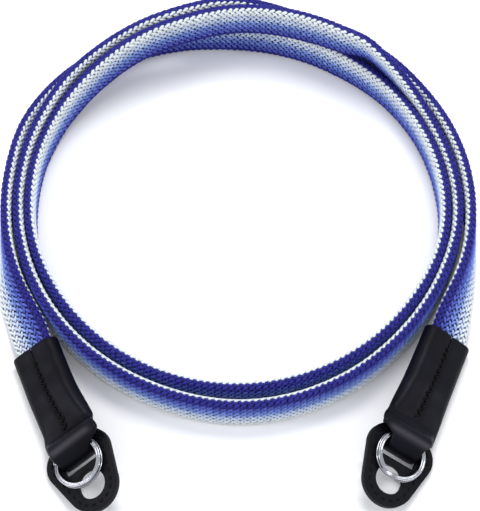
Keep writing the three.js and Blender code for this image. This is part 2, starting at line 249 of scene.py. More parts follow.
target = (np.array([0.6, -13.0, 0.0]) + shift) * MM
elevation = math.radians(61.8)
distance = 0.62
sensor = 36                    # mm, spread over the picture's longer side
focal_pixels, longer_side = 2098, 511
camera_data = bpy.data.cameras.new("camera")
camera = new_object("camera", camera_data)
camera.location = Vector(target) + distance * Vector((0, -math.cos(elevation), math.sin(elevation)))
camera.rotation_euler = (math.pi / 2 - elevation, 0, 0)
camera_data.sensor_width = sensor
camera_data.lens = sensor * focal_pixels / longer_side
camera_data.clip_start = 0.05
camera_data.clip_end = 10
bpy.context.scene.camera = camera
print("lens", round(camera_data.lens, 1), "mm")


# %% Soft studio light
light_aim = Vector((0, 0.01, 0))


def area_light(name, place, size, watts):
    """A rectangular softbox that faces the coil."""
    data = bpy.data.lights.new(name, "AREA")
    data.shape = "RECTANGLE"
    data.size, data.size_y = size
    data.energy = watts
    lamp = new_object(name, data)
    lamp.location = place
    lamp.rotation_euler = (light_aim - Vector(place)).to_track_quat("-Z", "Y").to_euler()
    print(name, watts, "W")


area_light("overhead_softbox", (0.05, 0.25, 0.75), (0.34, 0.26), 3.0)
area_light("left_strip", (-0.7, -0.1, 0.47), (0.14, 0.34), 1.6)
area_light("right_strip", (0.68, -0.18, 0.45), (0.12, 0.34), 1.3)
world = bpy.data.worlds.new("studio_air")
world.use_nodes = True
room = world.node_tree.nodes["Background"].inputs
room["Color"].default_value = (0.93, 0.95, 1.0, 1)
room["Strength"].default_value = 0.95
bpy.context.scene.world = world
bpy.context.scene.view_settings.view_transform = "Standard"


# %% [markdown]
# ## Materials
# Each finish starts from what the real one is. One function turns a hex colour to linear light,
# one adds a node with its settings and links, and the patterns are scaled in real millimetres.

# %% Colour and node helpers
def linear(hex_colour):
    """An sRGB hex colour as linear red, green, blue and a full alpha."""
    channels = [int(hex_colour[i:i + 2], 16) / 255 for i in (1, 3, 5)]
    return (*[c / 12.92 if c <= 0.04045 else ((c + 0.055) / 1.055)**2.4 for c in channels], 1.0)


def add(tree, kind, inputs=None, stops=(), **settings):
    """Adds a node, sets it up, gives a ramp its (place, hex) stops and fills the node's inputs with
    values or with another node's outputs."""
    node = tree.nodes.new(kind)
    for key, value in settings.items():
        setattr(node, key, value)
    while stops and len(node.color_ramp.elements) < len(stops):
        node.color_ramp.elements.new(0.5)
    for number, (place, colour) in enumerate(stops):
        node.color_ramp.elements[number].position = place
        node.color_ramp.elements[number].color = linear(colour)
    for key, value in (inputs or {}).items():
        if isinstance(value, bpy.types.NodeSocket):
            tree.links.new(value, node.inputs[key])
        else:
            node.inputs[key].default_value = value
    return node


def new_material(name):
    """An empty material and its node tree."""
    material = bpy.data.materials.new(name)
    material.use_nodes = True
    material.node_tree.nodes.clear()
    return material, material.node_tree


# %% [markdown]
# Knitting yarn is a bundle of fine polyester filaments, dyed before it is knitted. It is matt with a
# soft bloom at the rims of each stitch. One plain colour would look like plastic, so the dye is a
# little uneven, and filaments run along each stitch with a slight twist. They are close to their
# real 0.03 mm: too fine to show as lines, they break up the light and make the yarn matt.

# %% Dyed polyester yarn
dye_patch = 1.6                # mm between darker and lighter places of a yarn
filament_gap = 0.027635        # mm between two filaments
filament_twist = 0.28          # radians
wave_rate = 2 * math.pi / 20   # the wave node's scale for one wave in each unit


def polyester_yarn(name, dark, mid, light):
    material, tree = new_material(name)
    place = add(tree, "ShaderNodeTexCoord")
    dye = add(tree, "ShaderNodeTexNoise", {
        "Vector": place.outputs["Object"], "Scale": 1 / (dye_patch * MM), "Detail": 3.0,
        "Roughness": 0.6})
    colour = add(tree, "ShaderNodeValToRGB", {"Fac": dye.outputs["Fac"]},
                 stops=[(0.28, dark), (0.52, mid), (0.74, light)])
    twist = add(tree, "ShaderNodeMapping", {
        "Vector": place.outputs["UV"], "Rotation": (0, 0, filament_twist)})
    filaments = add(tree, "ShaderNodeTexWave", {
        "Vector": twist.outputs["Vector"], "Scale": wave_rate / filament_gap,
        "Distortion": 1.2, "Detail": 1.0}, bands_direction="Y")
    relief = add(tree, "ShaderNodeBump", {
        "Height": filaments.outputs["Fac"], "Strength": 0.35, "Distance": 0.06 * MM})
    surface = add(tree, "ShaderNodeBsdfPrincipled", {
        "Base Color": colour.outputs["Color"], "Roughness": 0.72, "IOR": 1.5, "Specular IOR Level": 0.3,
        "Sheen Weight": 0.12, "Sheen Roughness": 0.5, "Sheen Tint": linear(light),
        "Normal": relief.outputs["Normal"]})
    add(tree, "ShaderNodeOutputMaterial", {"Surface": surface.outputs["BSDF"]})
    return material


yarns = {
    "white": polyester_yarn("white_polyester_yarn", "#c6cccf", "#d6dcde", "#e4e9ea"),
    "ice": polyester_yarn("ice_polyester_yarn", "#b0bcd6", "#bfcbe2", "#d0daec"),
    "sky": polyester_yarn("sky_polyester_yarn", "#8298ca", "#93a9d8", "#a8bbe4"),
    "cornflower": polyester_yarn("cornflower_polyester_yarn", "#5c71bc", "#6b81ca", "#8194d8"),
    "periwinkle": polyester_yarn("periwinkle_polyester_yarn", "#3c4aa4", "#4956b2", "#5c69c2"),
    "navy": polyester_yarn("navy_polyester_yarn", "#18186c", "#201f7e", "#2c2b90"),
}
print("yarns", *yarns)


# %% [markdown]
# The sheath and protector are thin vegetable-tanned hide, dyed black and finished satin. The grain
# shows as a soft sheen broken by pebbles about half a millimetre across, and handling polishes the
# high places. Where the neck goes over the ring its crown is painted paler: a painted highlight
# that stands in for sheen on the fold. The neck's mesh carries it as a value of its own, because a
# pattern in the material couldn't know where the ring is. The cut edges are painted and burnished:
# fibres show there, with no grain.

# %% Black hide, its burnished edge and its thread
def black_hide(name, pebble=0.55, dark="#06060c", light="#0f0e19"):
    material, tree = new_material(name)
    place = add(tree, "ShaderNodeTexCoord").outputs["Object"]
    wear = add(tree, "ShaderNodeTexNoise", {
        "Vector": place, "Scale": 1 / (9 * MM), "Detail": 4.0, "Roughness": 0.55})
    grain = add(tree, "ShaderNodeTexVoronoi", {
        "Vector": place, "Scale": 1 / (pebble * MM)}, feature="F1")
    pores = add(tree, "ShaderNodeTexNoise", {"Vector": place, "Scale": 1 / (0.35 * MM), "Detail": 2.0})
    colour = add(tree, "ShaderNodeValToRGB", {"Fac": wear.outputs["Fac"]},
                 stops=[(0.3, dark), (0.7, light)])
    # painted highlight: the neck's value mixes the hide's colour towards pale grey, in place of sheen
    fold = add(tree, "ShaderNodeAttribute", attribute_name="painted_highlight")
    shade = add(tree, "ShaderNodeMix", {
        "Factor": fold.outputs["Fac"], "A": colour.outputs["Color"],
        "B": linear("#434148")}, data_type="RGBA")
    gloss = add(tree, "ShaderNodeMapRange", {
        "Value": wear.outputs["Fac"], "From Min": 0.3, "From Max": 0.7, "To Min": 0.5, "To Max": 0.36})
    pebbles = add(tree, "ShaderNodeBump", {
        "Height": grain.outputs["Distance"], "Strength": 0.3, "Distance": 0.05 * MM})
    relief = add(tree, "ShaderNodeBump", {
        "Height": pores.outputs["Fac"], "Strength": 0.25, "Distance": 0.04 * MM,
        "Normal": pebbles.outputs["Normal"]})
    surface = add(tree, "ShaderNodeBsdfPrincipled", {
        "Base Color": shade.outputs["Result"], "Roughness": gloss.outputs["Result"], "IOR": 1.5,
        "Specular IOR Level": 0.09, "Normal": relief.outputs["Normal"]})
    add(tree, "ShaderNodeOutputMaterial", {"Surface": surface.outputs["BSDF"]})
    return material


def fibrous(name, dark, light, spacing):
    """A dull dyed surface with fibres a given number of millimetres apart."""
    material, tree = new_material(name)
    place = add(tree, "ShaderNodeTexCoord").outputs["Object"]
    fibres = add(tree, "ShaderNodeTexNoise", {
        "Vector": place, "Scale": 1 / (spacing * MM), "Detail": 3.0})
    colour = add(tree, "ShaderNodeValToRGB", {"Fac": fibres.outputs["Fac"]},
                 stops=[(0.35, dark), (0.65, light)])
    relief = add(tree, "ShaderNodeBump", {
        "Height": fibres.outputs["Fac"], "Strength": 0.3, "Distance": 0.05 * MM})
    surface = add(tree, "ShaderNodeBsdfPrincipled", {
        "Base Color": colour.outputs["Color"], "Roughness": 0.6, "IOR": 1.5, "Specular IOR Level": 0.12,
        "Normal": relief.outputs["Normal"]})
    add(tree, "ShaderNodeOutputMaterial", {"Surface": surface.outputs["BSDF"]})
    return material


sheath_hide = black_hide("satin_black_hide")
protector_hide = black_hide("satin_black_hide_plate", pebble=0.45, dark="#05060a", light="#0e0e15")
burnished_edge = fibrous("burnished_hide_edge", "#08080b", "#15141a", 0.5)
bonded_thread = fibrous("bonded_black_thread", "#010101", "#050507", 0.2)

# the yarn that shows between the stitches lies in their shade: the linings are painted darker than
# the yarn, as painted shade
shaded_navy_lining = fibrous("navy_yarn_lining_painted_shade", "#05061f", "#0b0d38", 0.8)
shaded_pale_lining = fibrous("pale_yarn_lining_painted_shade", "#454e6e", "#616b8a", 0.8)
print("materials so far", len(bpy.data.materials))

# %% [markdown]
# The rings are spring steel, plated with nickel and tumbled bright. A metal this smooth shows the
# softboxes as crisp streaks. A perfect mirror would look drawn, so fine rub marks, 0.8 mm apart,
# change its gloss a little from place to place.

# %% Nickel-plated spring steel and the floor
plated_steel, tree = new_material("nickel_plated_spring_steel")
place = add(tree, "ShaderNodeTexCoord").outputs["Object"]
rubs = add(tree, "ShaderNodeTexNoise", {
    "Vector": place, "Scale": 1 / (0.8 * MM), "Detail": 5.0, "Roughness": 0.7})
gloss = add(tree, "ShaderNodeMapRange", {"Value": rubs.outputs["Fac"], "To Min": 0.12, "To Max": 0.24})
relief = add(tree, "ShaderNodeBump", {
    "Height": rubs.outputs["Fac"], "Strength": 0.12, "Distance": 0.02 * MM})
surface = add(tree, "ShaderNodeBsdfPrincipled", {
    "Base Color": linear("#9fa0a6"), "Metallic": 1.0, "Roughness": gloss.outputs["Result"],
    "Normal": relief.outputs["Normal"]})
add(tree, "ShaderNodeOutputMaterial", {"Surface": surface.outputs["BSDF"]})

floor_paper, tree = new_material("matt_white_background_paper")
surface = add(tree, "ShaderNodeBsdfPrincipled", {"Base Color": linear("#f4f4f4"), "Roughness": 0.9})
add(tree, "ShaderNodeOutputMaterial", {"Surface": surface.outputs["BSDF"]})
print("metal and floor", plated_steel.name, floor_paper.name)


# %% [markdown]
# Every piece is worked out as rows of points and becomes a mesh in one go. Blender's own operators
# could build it step by step, but with fifteen thousand stitch arms that would take far too long.

# %% Mesh helper and the floor
def mesh_piece(name, points, faces, materials, face_material=None, slot=None):
    """A smooth mesh object from points in millimetres; with a slot it also rides on the one body."""
    mesh = bpy.data.meshes.new(name)
    faces = faces.tolist() if isinstance(faces, np.ndarray) else faces
    mesh.from_pydata((np.asarray(points).reshape(-1, 3) * MM).tolist(), [], faces)
    for material in materials:
        mesh.materials.append(material)
    if face_material is not None:
        mesh.polygons.foreach_set("material_index", np.asarray(face_material, np.int32).ravel())
    mesh.polygons.foreach_set("use_smooth", np.full(len(mesh.polygons), True))
    mesh.update()
    piece = new_object(name, mesh)
    if slot:
        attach(piece, "root")
    return piece


def grid_faces(rows, columns, closed=False):
    """Quads between rows of points; closed joins each row's last point to its first."""
    r, c = np.meshgrid(np.arange(rows - 1), np.arange(columns if closed else columns - 1), indexing="ij")
    here, right = r * columns + c, r * columns + (c + 1) % columns
    return np.stack([here, right, right + columns, here + columns], -1).reshape(-1, 4)


def end_caps(rows, columns):
    """The two faces that close a tube of rows with so many points each."""
    return [list(range(columns))[::-1], list(range((rows - 1) * columns, rows * columns))]


floor_half = 0.6               # m
corners = np.array([(-1, -1, 0), (1, -1, 0), (1, 1, 0), (-1, 1, 0)]) * floor_half
floor = mesh_piece("floor", corners / MM, [(0, 1, 2, 3)], [floor_paper])
print("floor", 2 * floor_half, "m across")

# %% [markdown]
# ## The knitted tube
# A knit seen close is columns of slanted yarn loops. Each column, or wale, is a V whose two arms
# lean opposite ways. Drawn in a texture, the arms would vanish along the toothed upper edge, which
# is the most striking thing about this strap. So each arm is a small leaf-shaped dome, laid on the
# tube by its distance along the band and round the section. They are joined by yarn colour.

# %% Band lining under the stitches
wales = 13                     # V columns round the tube
stitch_pitch = 1.86            # mm along the band
arm_width = stadium_length(band_width, band_thickness) / (2 * wales)
yarn_depth = 0.28              # how far the stitches stand over the lining
hidden = 4.0                   # band drawn inside each sheath, mm
grip, grip_reach = 0.075, 7.0  # share that a mouth narrows the band by, and over what length
pale_part = 0.36               # share of each half of the round that lies under pale yarn


def ease(value, first, last):
    """A soft step from 0 at first to 1 at last."""
    share = np.clip((value - first) / (last - first), 0, 1)
    return share**2 * (3 - 2 * share)


def band_at(length):
    """The band's frame at a length along it, run on straight past both ends."""
    inside = np.clip(length, 0, band_length)
    parts = [np.stack([np.interp(inside, fine_length, v[:, k]) for k in range(3)], -1) for v in fine]
    centre, along, across, through = parts[0], unit(parts[1]), unit(parts[2]), unit(parts[3])
    return centre + along * (length - inside)[..., None] + shift, along, across, through


def squeeze(length):
    """The sheaths grip the band: its section shrinks a little towards each mouth."""
    return 1 - grip * (1 - ease(np.minimum(length, band_length - length), 0, grip_reach))


def on_band(length, round_it, rise):
    """Points at a length along the band, a distance round its section and a height over its skin."""
    centre, along, across, through = band_at(length)
    point, normal = stadium(round_it, band_width, band_thickness)
    flat = (point + normal * rise[..., None]) * squeeze(length)[..., None]
    return centre + flat[..., :1] * across + flat[..., 1:] * through


rows = np.arange(-hidden, band_length + hidden, 1.4)
loop = np.linspace(0, stadium_length(band_width, band_thickness), 53)[:-1]
length_grid, loop_grid = np.meshgrid(rows, loop, indexing="ij")
lining_points = on_band(length_grid, loop_grid, np.full(length_grid.shape, -yarn_depth))
lining_faces = grid_faces(len(rows), len(loop), closed=True)[:, ::-1]
pale_share = np.mod(np.arange(len(loop)) + 0.5, len(loop) / 2) < pale_part * len(loop) / 2
lining_pale = np.tile(pale_share.astype(int), len(rows) - 1)
caps = [face[::-1] for face in end_caps(len(rows), len(loop))]
# the lining's colours are painted shade for the dark holes between the stitches
band_core = mesh_piece("strap_lining", lining_points, lining_faces.tolist() + caps,
                       [shaded_navy_lining, shaded_pale_lining], np.concatenate([lining_pale, [0, 0]]), "knit")
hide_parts("strap_band")
print("lining faces", len(lining_faces))


# %% [markdown]
# A real stitch is never quite like the next: each arm gets a small random step, turn, width and
# height. The tube is pressed flat half an arm off the line where white meets navy, and the arms
# that go over the pressed edge are crowded together, so they are drawn fuller there. All arms of
# one yarn are one mesh, worked out in one go, because thousands of objects would be slow.

# %% Stitch arms, one mesh for each yarn
arm_length = 2.15              # mm
arm_slant = math.radians(35)   # from the band's length
arm_fullness = 0.78            # share of a column's room that an arm fills
arm_crown = 0.46               # mm, the height of its dome
arm_tilt = 0.08                # mm that its tip is higher and its root lower
arm_sink = 0.06                # mm that its foot is in the lining
# random share in an arm's place (mm), slant (radians), width (of the whole) and height (mm)
scatter = 0.05, 0.05, 0.04, 0.02
edge_turn = 0.5                # arms between the pressed edge and the line where white meets navy
edge_arms = 3                  # columns nearer to that line than this are crowded
edge_fullness = 1.26           # and drawn so much fuller
across_steps = np.linspace(-1, 1, 5)
along_steps = np.array([-1, -0.62, -0.2, 0.25, 0.66, 1])
order = ["white", "white", "white", "ice", "ice", "sky", "cornflower", "cornflower",
         "periwinkle", "periwinkle", "navy", "navy", "navy"]
columns_of = {yarn: [k for k in range(2 * wales) if order[k % wales] == yarn] for yarn in yarns}
arm_count = int((band_length + hidden) / stitch_pitch)
rng = np.random.default_rng(7)


def stitch_arms(yarn):
    """All the arms of one yarn: t runs along an arm and c across it, both from -1 to 1."""
    t, c = np.meshgrid(along_steps, across_steps, indexing="ij")
    blade = np.clip(1 - np.abs(t)**2.4, 0, 1)**0.6
    width = 0.5 * arm_width * arm_fullness * (0.08 + 0.92 * blade)
    crown = np.sqrt(np.clip(1 - 0.96 * c**2, 0, 1)) * (0.2 + 0.8 * blade) * arm_crown
    outline = np.stack([0.5 * arm_length * t, width * c], -1)
    points, uv = [], []
    for k in columns_of[yarn]:
        lean_way = -1 if k % 2 == 0 else 1
        number = np.arange(arm_count)
        start = -hidden / 2 + (number + 0.5 * (k % 2)) * stitch_pitch
        jitter = rng.normal(0, 1, (arm_count, 4))
        fuller = edge_fullness if min(k, 2 * wales - k) < edge_arms else 1
        start = start + scatter[0] * jitter[:, 0]
        slant = arm_slant + scatter[1] * jitter[:, 1]
        a = 0.5 * arm_length * t[None]
        b = fuller * (width * c)[None] * (1 + scatter[2] * jitter[:, 2])[:, None, None]
        cos, sin = np.cos(slant)[:, None, None], np.sin(slant)[:, None, None] * lean_way
        length = start[:, None, None] + a * cos - b * sin
        round_it = (k + 0.5 + edge_turn) * arm_width + a * sin + b * cos
        rise = (-yarn_depth - arm_sink + crown[None] + (arm_tilt * t)[None]
                + scatter[3] * jitter[:, 3][:, None, None])
        points.append(on_band(length, round_it, rise).reshape(-1, 3))
        uv.append(np.broadcast_to(outline, (arm_count, *outline.shape)).reshape(-1, 2))
    points, uv = np.concatenate(points), np.concatenate(uv)
    one = grid_faces(len(along_steps), len(across_steps))
    per_arm = len(along_steps) * len(across_steps)
    faces = (np.arange(len(points) // per_arm)[:, None, None] * per_arm + one[None]).reshape(-1, 4)
    piece = mesh_piece(f"stitches_{yarn}", points, faces, [yarns[yarn]], slot="knit")
    layer = piece.data.uv_layers.new(name="yarn")
    layer.data.foreach_set("uv", uv[faces.ravel()].astype(np.float32).ravel())
    print(piece.name, "arms", len(points) // per_arm, "triangles", 2 * len(faces))
    return piece


stitches = [stitch_arms(yarn) for yarn in yarns]

# %% [markdown]
# ## The leather ends
# Each end has a straight frame of its own: x runs from the sheath's mouth to the tip of the
# protector, y across it and z out of its front. Both ends could be drawn in place, but in a frame of
# their own one drawing serves twice. The frame is worked out from the route just as in part.mjs.

# %% Frames of the two ends
leather_wall = 1.2
fit_gap = 0.3
sheath_width, pinch_width = 15.3, 16.3
neck_width = 10.5
pinch_start = 25.8             # from the mouth
protector_width = 20.6
protector_top = 7.0            # from the slot's middle up to the shoulders' edge
protector_thickness, ring_thickness = 2.2, 2.0
stack_height = protector_thickness + ring_thickness + 3 * fit_gap
protector_low = stack_height / 2 - fit_gap - protector_thickness / 2
twist = math.radians(protector_roll - sheath_roll)


def end_frame(travel, side, slot_offset):
    """The frame of the end at one end of the route, tipped so that its protector reaches the floor."""
    centre, along, across, _ = (v[0] for v in band_frame([travel]))
    run = -side * along
    run[2] = 0
    run = unit(run)
    roll = math.asin(across[2]) + twist
    rest = (protector_width / 2 * math.sin(roll)
            + (protector_low + protector_thickness / 2) * math.cos(roll))
    run[2] = (rest - centre[2]) / slot_offset
    run = unit(run)
    wide = side * across
    wide = unit(wide - wide.dot(run) * run)
    frame_matrix = Matrix(np.stack([run, wide, np.cross(run, wide)], -1).tolist()).to_4x4()
    return Matrix.Translation(Vector((centre + shift) * MM)) @ frame_matrix


ends = {}
for name, travel, side, pinch, bend, lie in (("left", travel_start, 1, 3.4, 6, 1.0),
                                             ("right", travel_end, -1, 5.5, 0, 0.2)):
    slot_at = pinch_start + pinch + fit_gap + protector_top
    ends[name] = {"frame": end_frame(travel, side, slot_at), "side": side, "ring": pinch_start + pinch,
                  "slot": slot_at, "bend": math.radians(bend), "lie": lie}
    print(name, "end: slot", round(slot_at, 1), "mm from the mouth")


def place_end(piece, name, hung=False):
    """Moves a piece drawn in an end's own frame to its place, and lets it ride."""
    end = ends[name]
    matrix = end["frame"]
    if hung:
        turned = Matrix.Rotation(end["bend"], 4, "Z") @ Matrix.Rotation(end["side"] * twist, 4, "X")
        lowered = Matrix.Translation((0, 0, -protector_low * MM))
        matrix = matrix @ Matrix.Translation((end["slot"] * MM, 0, 0)) @ turned @ lowered
    piece.data.transform(matrix)
    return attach(piece, "root")


def twisted(points, name):
    """The soft sheath takes the twist, and its pinch the bend, up to what hangs on the neck."""
    end = ends[name]
    points = np.array(points, float)
    roll = end["side"] * twist * ease(points[..., 0], 5, end["ring"])
    bend = end["bend"] * ease(points[..., 0], pinch_start, end["ring"])
    aside = (end["side"] * end["lie"] * ease(points[..., 0], 12, 29)
             * (1 - ease(points[..., 0], 33.5, 36)))
    x = points[..., 0] - end["slot"]
    y = points[..., 1] * np.cos(roll) - points[..., 2] * np.sin(roll)
    z = points[..., 1] * np.sin(roll) + points[..., 2] * np.cos(roll)
    y = y + aside
    return np.stack([end["slot"] + x * np.cos(bend) - y * np.sin(bend),
                     x * np.sin(bend) + y * np.cos(bend), z], -1)


def apply_modifiers(piece):
    """Turns the piece's modifiers into plain mesh."""
    evaluated = piece.evaluated_get(bpy.context.evaluated_depsgraph_get())
    mesh = bpy.data.meshes.new_from_object(evaluated)
    piece.modifiers.clear()
    piece.data = mesh
    return piece


# %% [markdown]
# A sheath is one piece of hide wrapped round the band, its two long edges meeting in a butt seam on
# the front. A closed tube with a line on it would be easier, but its seam would look drawn. So it is
# made as the real one is: a sheet that starts at one side of the seam and ends at the other, given
# its thickness afterwards. The edges part at the mouth, where the stitching stops.

# %% Sheath wrap
wrap_end = 30.4                # mm from the mouth, at the left end
wrap_rows = np.concatenate([np.linspace(0, 21, 26), np.linspace(21.6, wrap_end, 16)])
front_crown = 0.3              # mm that the soft faces swell
seam_dip = 0.28                # mm that the seam is drawn in
ripple_height = 0.07           # mm
open_mouth = 4.4               # mm from the mouth in which the seam parts


def wrap_thickness(x):
    return smooth([0, 3, 21, 25.8, 28.8, 30.6], [5.75, 5.7, 5.6, 4.7, 3.6, 3.5], x)


def wrap_front(x):
    return wrap_thickness(x) / 2


def wrap_width(x):
    return sheath_width + (pinch_width - sheath_width) * ease(x, 15, 30)


def sheath_wrap(name):
    side = ends[name]["side"]
    steps_round = 96
    points = []
    for x in wrap_rows:
        thick = float(wrap_thickness(x))
        wide = float(wrap_width(x))
        around = stadium_length(wide, thick)
        slit = 0.05 + 0.07 * max(0, 1 - x / open_mouth)
        u = np.linspace(0, 1, steps_round)
        u = u - 0.035 * np.sin(2 * math.pi * u)
        q = 0.75 * around + slit + u * (around - 2 * slit)
        point, normal = stadium(q, wide, thick)
        seam = np.exp(-(point[:, 0] / 0.9)**2) * (point[:, 1] > 0)
        crown = front_crown * np.clip(1 - (point[:, 0] / 7.2)**2, 0, 1) * np.clip((26 - x) / 8, 0, 1)
        lie = point + normal * (crown - seam_dip * seam)[:, None]
        ripple = ripple_height * math.sin(x * 0.9 + side) * np.clip(1 - (point[:, 0] / 7.6)**2, 0, 1)
        lie[:, 1] += ripple * np.sign(normal[:, 1])
        longer = (ends[name]["slot"] - ends["left"]["slot"]) * float(ease(x, pinch_start, wrap_end))
        points.append(np.stack([np.full(steps_round, x + longer), lie[:, 0], lie[:, 1]], -1))
    points = twisted(np.array(points), name)
    faces = grid_faces(len(wrap_rows), steps_round)
    piece = mesh_piece(f"sheath_wrap_{name}", points, faces, [sheath_hide, burnished_edge])
    piece.data.flip_normals()
    wall = piece.modifiers.new("hide thickness", "SOLIDIFY")
    wall.thickness = leather_wall * MM
    wall.offset = -1
    wall.material_offset_rim = 1
    edge = piece.modifiers.new("rounded cut edge", "BEVEL")
    edge.width = 0.22 * MM
    edge.segments = 2
    edge.limit_method = "ANGLE"
    edge.angle_limit = math.radians(50)
    apply_modifiers(piece)
    return place_end(piece, name)


wraps = {name: sheath_wrap(name) for name in ends}
print("sheath wraps, faces", *[len(piece.data.polygons) for piece in wraps.values()])

# %% [markdown]
# Past the pinch the hide narrows to a neck, which goes over the ring, down through the protector's
# slot and back under it. It could be bent with a modifier, but the fold is too tight for that. So
# its path is drawn from the side as a row of points, and its width changes along the way.

# %% Neck folded round the ring
path_slot = 37.2               # where neck_path has the middle of the protector's slot
past_ring = 8                  # the row of neck_path just past the ring's wire
neck_path = np.array([
    # along, front
    (23.5, 1.55),
    (26, 1.3),
    (28, 1.22),
    (29.3, 1.6),
    (30.2, 2.3),
    (31, 2.85),
    (31.9, 3.1),
    (32.9, 3.2),
    (33.9, 3.15),
    (34.8, 2.95),
    (35.6, 2.55),
    (36.4, 1.8),
    (37, 0.85),
    (37.2, 0),
    (37.2, -1.4),
    (36.8, -2.6),
    (35.7, -3.1),
    (34.4, -3.15),
    (33.4, -3.15),
    (32.4, -3.1),
    (31.2, -3),
    (30.2, -2.9),
    (29.3, -2.2),
    (28.3, -1.5),
    (26, -1.35),
    (23.5, -1.55),
])
neck_sides = np.array([
    # along, half width, shift of the front layer towards the coil
    (23.5, 5.2, 0),
    (26, 6.2, 0.1),
    (28.2, 7.7, 0.5),
    (30, 8.05, 0.9),
    (31.5, 8.2, 1.2),
    (33.2, 8.2, 1.2),
    (34, 7.8, 1.05),
    (34.7, 6.9, 0.7),
    (35.3, 5.95, 0.35),
    (35.9, 5.4, 0.1),
    (36.6, 5.2, 0),
    (40, 5.2, 0),
])


def neck(name):
    """The neck as a flat strip along its path, with a value that paints a highlight where it goes over
    the ring.
    """
    path = neck_path.copy()
    path[:, 0] += (ends[name]["slot"] - path_slot) * ease(path[:, 0], pinch_start, 31)
    chord = walked(path)
    at = np.arange(0, chord[-1], 0.3)
    x, z = (smooth(chord, path[:, k], at) for k in range(2))
    half_width, aside = (smooth(neck_sides[:, 0], neck_sides[:, k], x) for k in (1, 2))
    aside = ends[name]["side"] * aside * ease(z, -1, 1)
    half_width = half_width + (neck_width / 2 - half_width) * ease(-z, 0.3, 1.6)
    run = unit(np.stack([np.gradient(x), np.gradient(z)], -1))
    out = np.stack([-run[:, 1], run[:, 0]], -1)
    loop = 40
    points = []
    for i in range(len(at)):
        wide = 2 * half_width[i]
        q = np.linspace(0, 1, loop, endpoint=False) * stadium_length(wide, leather_wall)
        point, _ = stadium(q, wide, leather_wall)
        lift = point[:, 1] + 0.12 * (1 - (point[:, 0] / half_width[i])**2)
        points.append(np.stack([x[i] + out[i, 0] * lift, point[:, 0] + aside[i],
                                z[i] + out[i, 1] * lift], -1))
    points = np.array(points)
    # where the neck's crown is over the ring it gets a painted highlight, a paler colour for sheen
    crown = (np.exp(-((points[..., 0] - path[past_ring, 0] + 0.9) / 0.95)**2)
             * ease(points[..., 2], 2.2, 3.2))
    crown *= 1 - ease(np.abs(points[..., 1]), 5.5, 8)
    points = twisted(points, name)
    faces = grid_faces(len(at), loop, closed=True)
    faces = faces.tolist() + end_caps(len(at), loop)
    piece = mesh_piece(f"sheath_neck_{name}", points, faces, [sheath_hide])
    painted_highlight = piece.data.attributes.new("painted_highlight", "FLOAT", "POINT")
    painted_highlight.data.foreach_set("value", (0.6 * crown).ravel().astype(np.float32))
    print(piece.name, "path", round(chord[-1], 1), "mm")
    return place_end(piece, name)


for name in ends:
    neck(name)


# %% [markdown]
# The seam is closed with one bonded thread that zigzags over it. It could be painted on, but a real
# thread stands up and catches the light. So a small tube follows a zigzag path whose corners dip
# into the hide, as they do at real needle holes.

# %% Thread tubes
def thread_tube(paths, radius, sides=7):
    """One set of points and faces for round threads along several paths."""
    points, faces = [], []
    for path in paths:
        path = np.asarray(path, float)
        run = unit(np.gradient(path, axis=0))
        up = np.tile([0.0, 0.0, 1.0], (len(path), 1))
        wide = unit(np.cross(run, up))
        rise = np.cross(wide, run)
        turn = np.linspace(0, 2 * math.pi, sides, endpoint=False)
        ring = (path[:, None] + radius * (np.cos(turn)[None, :, None] * wide[:, None]
                                          + np.sin(turn)[None, :, None] * rise[:, None]))
        base = sum(len(p) for p in points)
        points.append(ring.reshape(-1, 3))
        faces += (grid_faces(len(path), sides, closed=True) + base).tolist()
        faces += [[base + i for i in face] for face in end_caps(len(path), sides)]
    return np.concatenate(points), faces


seam_pitch, seam_count = 1.95, 12
seam_reach = 0.75, 0.72        # from the seam to the needle holes left and right of it
first_hole = 4.0               # from the mouth
seam_thread = 0.2              # radius


def seam_stitches(name):
    paths = []
    wander = np.random.default_rng(3).normal(0, 0.08, (seam_count + 1, 2))
    for i in range(seam_count):
        start = first_hole + i * seam_pitch + wander[i, 0]
        left, right = -seam_reach[0], seam_reach[1] + wander[i, 1]
        for first, last, x0, x1 in ((left, right, 0, 0.8), (right, left, 0.8, seam_pitch)):
            t = np.linspace(0, 1, 9)
            x = start + x0 + (x1 - x0) * t
            y = first + (last - first) * t
            z = wrap_front(x) + 0.2 * np.clip((26 - x) / 8, 0, 1) - 0.22 + 0.3 * np.sin(math.pi * t)**0.6
            paths.append(twisted(np.stack([x, y, z], -1), name))
    points, faces = thread_tube(paths, seam_thread)
    piece = mesh_piece(f"seam_thread_{name}", points, faces, [bonded_thread])
    print(piece.name, "lengths of thread", len(paths))
    return place_end(piece, name)


for name in ends:
    seam_stitches(name)


# %% [markdown]
# ## Lug protectors
# A protector is die-cut from thicker hide: two round shoulders, a round tip, a slot for the neck
# and a hole for the camera's lug. A block with cutters would give it hard edges. A filled 2D curve
# takes the same arcs as the CAD plate, its holes and a small round on the cut edge in one go.

# %% Protector plate
shoulder_radius, tip_radius = 6.3, 7.9
shoulder = np.array([protector_width / 2 - shoulder_radius, shoulder_radius - protector_top])
hole_centre = np.array([0, 8.4])
hole_radius = 4.2
slot_back, slot_front = -0.9, 2.5


def plate_outline(inset=0.0, steps_per_arc=28):
    """Points round the plate, (across, towards the tip), starting at the right of the tip."""
    span = hole_centre - shoulder
    reach = np.linalg.norm(span)
    tangent = math.acos((tip_radius - shoulder_radius) / reach) - math.atan2(span[1], shoulder[0])
    arcs = [
        (hole_centre, tip_radius, tangent, math.pi - tangent),
        (shoulder * (-1, 1), shoulder_radius, math.pi - tangent, 1.5 * math.pi),
        (shoulder, shoulder_radius, -0.5 * math.pi, tangent),
    ]
    points = []
    for centre, radius, first, last in arcs:
        turn = np.linspace(first, last, steps_per_arc)
        points.append(centre + (radius - inset) * np.stack([np.cos(turn), np.sin(turn)], -1))
    return np.concatenate(points)


